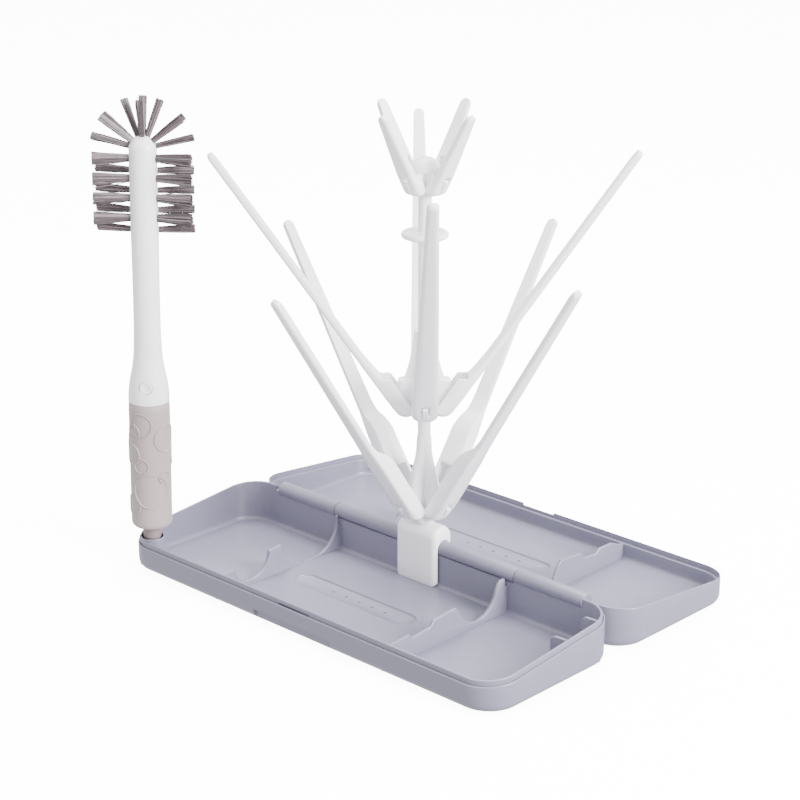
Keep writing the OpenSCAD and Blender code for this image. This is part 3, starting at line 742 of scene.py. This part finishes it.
lower_len = ARM_LEN - 1.5
lower_part = arm_part(
    lower_len, ARM_OUT, ARM_TOP,
    [(0, ARM_HALF), (37, 5.9), (43, 5.35), (50, 4.6), (lower_len - TIP_R, TIP_R)],
    [(0, -2.4), (36, -2.4), (39.5, -1.8), (43.5, -0.4), (46, 1.2), (48, 2), (54, 2.8),
     (lower_len - 5, 2.2), (lower_len, 2.6)], -2.4, 0.5, 18)
middle_part = arm_part(
    ARM_LEN, ARM_OUT, ARM_TOP, [(0, ARM_HALF), (54, 5.2), (ARM_LEN - TIP_R, TIP_R)],
    [(0, -2.4), (15.4, -2.4), (16.4, -1.8), (18.6, 1.4), (20, 1.9), (24, 2.4), (34, 3),
     (ARM_LEN - 5, 2.2), (ARM_LEN, 2.6)], -2.4, 2.8, 19)
crown_part = arm_part(
    CROWN_LEN, CROWN_OUT, CROWN_TOP, [(0, 5.3), (12, 4.8), (CROWN_LEN - TIP_R, TIP_R)],
    [(0, -1.8), (5.5, -1.8), (8.8, -0.2), (13, 0), (CROWN_LEN - 4, 0), (CROWN_LEN, 0.4)],
    -1.8, 1.6, 13)
for i in range(4):
    add_arm(f"lower_arm_{i + 1}", lower_part, math.pi / 2 * i, PIVOT_R, LOWER_Z, LOWER_LEAN[i],
            f"lower_arm_{i + 1}_body")
    add_arm(f"middle_arm_{i + 1}", middle_part, math.pi / 2 * (i + 0.5), PIVOT_R, MIDDLE_Z,
            MIDDLE_LEAN, f"middle_arm_{i + 1}_body")
    add_arm(f"crown_arm_{i + 1}", crown_part, math.pi / 2 * i, CROWN_R, CROWN_Z, CROWN_LEAN,
            f"crown_arm_{i + 1}_body")


# ---- brush ---------------------------------------------------------------------------

# The brush stands a little loose in its socket, so it leans towards the hinge
PERCH = Matrix.Translation((SOCKET[0] * MM, (SOCKET[1] + HINGE_Y) * MM, 3.5 * MM))
LEAN_AXIS = (-math.sin(BRISTLE_TURN), math.cos(BRISTLE_TURN), 0)
LEAN = PERCH @ Matrix.Rotation(math.radians(0.85), 4, LEAN_AXIS) @ PERCH.inverted()


def on_brush(obj):
    obj.data.transform(LEAN)
    return obj


shaft_rows = [(10.2, NECK_Z), (10.15, NECK_Z + 4), (9.5, NECK_Z + 10), (8.5, NECK_Z + 15),
              (7.6, NECK_Z + 20), (7.1, NECK_Z + 25), (6.85, NECK_Z + 31), (6.65, NECK_Z + 40),
              (6.6, 150), (6.7, 165), (SHAFT_R, 180), (SHAFT_R, SHAFT_TOP - SHAFT_R)]
shaft_profile = [(0.3, NECK_Z - 20), (5, NECK_Z - 20), (5, NECK_Z - 0.1), (9.9, NECK_Z - 0.1)] \
    + flowing(shaft_rows, 4) \
    + [(max(r, 0.05), z) for r, z in arc(0, SHAFT_TOP - SHAFT_R, SHAFT_R, 8, 90, 10)]
shaft = mesh_object("brush_stem", lathe(shaft_profile, centre=SOCKET, n=72))
facing = Matrix.Translation((*SOCKET, NECK_Z + 9)) @ Matrix.Rotation(BUTTON_TURN, 4, "Z") \
    @ Matrix.Rotation(math.pi / 2, 4, "Y")
cut(shaft, moved(lathe([(3.45, 1.5), (3.45, 14)], n=56), facing))
rounded(shaft, 0.25, 2, 60)
finished(on_brush(shaft), BRUSH, "brush", ["brush_shaft"], 45)

button = lathe([(3.2, 3.1), (3.2, 8.9)] + arc(2.7, 8.9, 0.5, 0, 80, 5)
               + [(2.2, 9.36), (1.9, 9.2), (0.2, 9.1)], n=56)
finished(on_brush(mesh_object("button_cap", moved(button, facing))), BRUSH, "button",
         ["release_button"], 50)


def surface_ring(angle, z, ring_r, wide=0.42, high=0.55, n=96):
    """A raised ring on the grip, centred at an angle from the button's direction and a height."""
    rings = []
    section = [(-wide, -0.3), (-wide * 0.8, high * 0.6), (-wide * 0.35, high), (wide * 0.35, high),
               (wide * 0.8, high * 0.6), (wide, -0.3)]
    for k in range(n):
        a = 2 * math.pi * k / n
        ring = []
        for across, rise in section:
            u = (ring_r + across) * math.cos(a) / GRIP_R + angle + BUTTON_TURN
            h = min(max(z + (ring_r + across) * math.sin(a), HANDLE_Z + 1.5), NECK_Z - 0.6)
            r = GRIP_R - 0.04 + rise
            ring.append((SOCKET[0] + r * math.cos(u), SOCKET[1] + r * math.sin(u), h))
        rings.append(ring)
    return loft(rings + rings[:1], False, False)


grip_rows = [(0.2, HANDLE_Z)] + arc(GRIP_R - 3, HANDLE_Z + 3, 3, -90, 0, 10) \
    + [(GRIP_R, z) for z in range(30, 86, 5)] \
    + [(GRIP_R - 0.15, NECK_Z - 0.6), (GRIP_R - 0.6, NECK_Z - 0.1), (5, NECK_Z - 0.1),
       (0.2, NECK_Z - 0.1)]
ring_spots = [(-0.35, 78.5, 6.0), (-0.75, 74.5, 3.8), (1.05, 71, 7.0), (-0.95, 62.5, 5.6),
              (-0.32, 57, 3.8), (0.15, 43.5, 8.9), (0.85, 50.5, 3.0), (-0.9, 35, 5.2),
              (2.2, 60, 6.5), (2.9, 45, 8.0), (-2.2, 66, 7.5), (-2.4, 47, 4.5), (3.1, 73, 4.0)]
grip = mesh_object("grip_sleeve", joined(
    lathe(grip_rows, centre=SOCKET, n=96), *[surface_ring(*spot) for spot in ring_spots]))
finished(on_brush(grip), GRIP, "brush", ["silicone_grip", "handle_core"], 45)

stub = lathe([(0.2, 3.7), (4.6, 3.7), (5.25, 4.3), (5.25, 12.2), (4.8, 12.7), (4.1, 12.8),
              (4.1, 15.6), (4.5, 16), (4.5, HANDLE_Z + 0.4), (0.2, HANDLE_Z + 0.4)],
             centre=SOCKET, n=64)
finished(on_brush(mesh_object("stub", stub)), STUB, "brush", ["socket_stub"])

dice = random.Random(7)


def tuft(origin, along, across, reach, count, root_r, tip_r):
    """Filaments from one hole: thin three-sided hairs that fan out."""
    parts = []
    third = along.cross(across).normalized()
    for _ in range(count):
        a, r = dice.uniform(0, 2 * math.pi), math.sqrt(dice.random())
        u, v = r * math.cos(a), r * math.sin(a)
        root = origin + across * u * root_r + third * v * root_r * 0.8
        stray = 1.0 if dice.random() > 0.04 else 1.45
        tip = origin + along * (reach * dice.uniform(0.965, 1.0)) + across * (u * tip_r * stray) \
            + third * v * tip_r * 0.75
        bend = across * dice.gauss(0, 0.16) + third * dice.gauss(0, 0.16)
        thick = dice.uniform(0.15, 0.23)
        rings = []
        for t, r in ((0, thick), (0.35, thick), (0.7, thick), (1, thick * 0.8)):
            p = root.lerp(tip, t) + bend * (4 * t * (1 - t))
            rings.append([tuple(p + (across * math.cos(k) + third * math.sin(k)) * r)
                          for k in (0, 2.094, 4.189)])
        parts.append(loft(rings))
    return parts


def side_tufts(turn, near):
    """Two staggered ranks on one side of the shaft; near is the side of the fuller rank."""
    parts = []
    for i in range(4):
        for k in (-1, 1):
            full = k == near
            z = TUFT_Z[0 if full else 1] + i * TUFT_PITCH
            a = turn + math.radians(TUFT_ANGLE * k)
            along = Vector((math.cos(a), math.sin(a), 0))
            origin = Vector((*SOCKET, z)) + along * (SHAFT_R - 1)
            parts += tuft(origin, along, Vector((0, 0, 1)), BRISTLE_R - SHAFT_R + 1,
                          190 if full else 120, 1.75 if full else 1.4, 3.15 if full else 2.1)
    return joined(*parts)


finished(on_brush(mesh_object("bristle_rows_left", side_tufts(BRISTLE_TURN + math.pi, 1))), BRISTLE,
         "brush", ["bristles_left"], 80)
finished(on_brush(mesh_object("bristle_rows_right", side_tufts(BRISTLE_TURN, -1))), BRISTLE,
         "brush", ["bristles_right"], 80)
fan = []
plane = Vector((math.cos(BRISTLE_TURN), math.sin(BRISTLE_TURN), 0))
towards = Vector((math.sin(BRISTLE_TURN), -math.cos(BRISTLE_TURN), 0))
for degrees, tip_towards in ((-76, 0), (-51, 8), (-51, -8), (-20, -4), (0, 14), (0, -8), (20, -4),
                             (51, 8), (51, -8), (76, 0)):
    a, b = math.radians(degrees), math.radians(tip_towards)
    radial = plane * math.sin(a) + Vector((0, 0, math.cos(a)))
    along = radial * math.cos(b) + towards * math.sin(b)
    across = plane * math.cos(a) - Vector((0, 0, math.sin(a)))
    origin = Vector((*SOCKET, SHAFT_TOP - SHAFT_R)) + along * (SHAFT_R - 1)
    fan += tuft(origin, along, across, FAN_R - SHAFT_R + 1, 100, 1.35, 1.95)
finished(on_brush(mesh_object("bristle_fan", joined(*fan))), BRISTLE, "brush", ["bristles_tip"],
         80)


# ---- carried-over steel pins ---------------------------------------------------------

for node in ("hinge_pin", "lower_pins", "middle_pins", "crown_pins"):
    pin = bpy.data.objects.get(node)
    if pin:
        pin.data.materials.clear()
        pin.data.materials.append(STEEL)


# ---- stage ---------------------------------------------------------------------------

floor = mesh_object("floor", ([(-30000, -30000, 0), (30000, -30000, 0), (30000, 30000, 0),
                               (-30000, 30000, 0)], [(0, 1, 2, 3)]))
floor.location.z = -0.0002
pale = bpy.data.materials.new("studio_floor")
pale.use_nodes = True
pale_shader = pale.node_tree.nodes["Principled BSDF"]
pale_shader.inputs["Base Color"].default_value = (0.93, 0.93, 0.93, 1)
pale_shader.inputs["Roughness"].default_value = 0.7
pale_shader.inputs["Emission Color"].default_value = (1, 1, 1, 1)
pale_shader.inputs["Emission Strength"].default_value = 11
floor.data.materials.append(pale)
floor.visible_diffuse = floor.visible_glossy = False     # it glows white and lights nothing

world = bpy.data.worlds.new("studio")
world.use_nodes = True
sky_nodes, sky_links = world.node_tree.nodes, world.node_tree.links
sky_coord = sky_nodes.new("ShaderNodeTexCoord")
sky_split = sky_nodes.new("ShaderNodeSeparateXYZ")
sky_ramp = sky_nodes.new("ShaderNodeValToRGB")
for element, (place, level) in zip(sky_ramp.color_ramp.elements, ((0.0, 0.72), (0.75, 1.0))):
    element.position, element.color = place, (level, level, level * 1.01, 1)
sky_links.new(sky_coord.outputs["Generated"], sky_split.inputs["Vector"])
sky_links.new(sky_split.outputs["Z"], sky_ramp.inputs["Fac"])
sky_links.new(sky_ramp.outputs["Color"], sky_nodes["Background"].inputs["Color"])
sky_nodes["Background"].inputs["Strength"].default_value = 2.15
bpy.context.scene.world = world


def area_light(name, place, target, size, power):
    data = bpy.data.lights.new(name, "AREA")
    data.shape, data.size, data.energy = "DISK", size, power
    obj = bpy.data.objects.new(name, data)
    obj.location = place
    obj.rotation_euler = (Vector(target) - Vector(place)).to_track_quat("-Z", "Y").to_euler()
    bpy.context.scene.collection.objects.link(obj)


area_light("key", (1.5, 0.15, 0.75), (0, 0.03, 0.06), 0.8, 92)
area_light("top", (-0.3, 0.35, 1.5), (0, 0.03, 0), 1.0, 44)

camera_data = bpy.data.cameras.new("camera")
camera_data.lens, camera_data.sensor_width = 95.23, 36
camera = bpy.data.objects.new("camera", camera_data)
camera.location = (0.6658, -0.6675, 0.4365)
camera.rotation_euler = (math.radians(70.765), 0, math.radians(43.736))
bpy.context.scene.collection.objects.link(camera)
bpy.context.scene.camera = camera
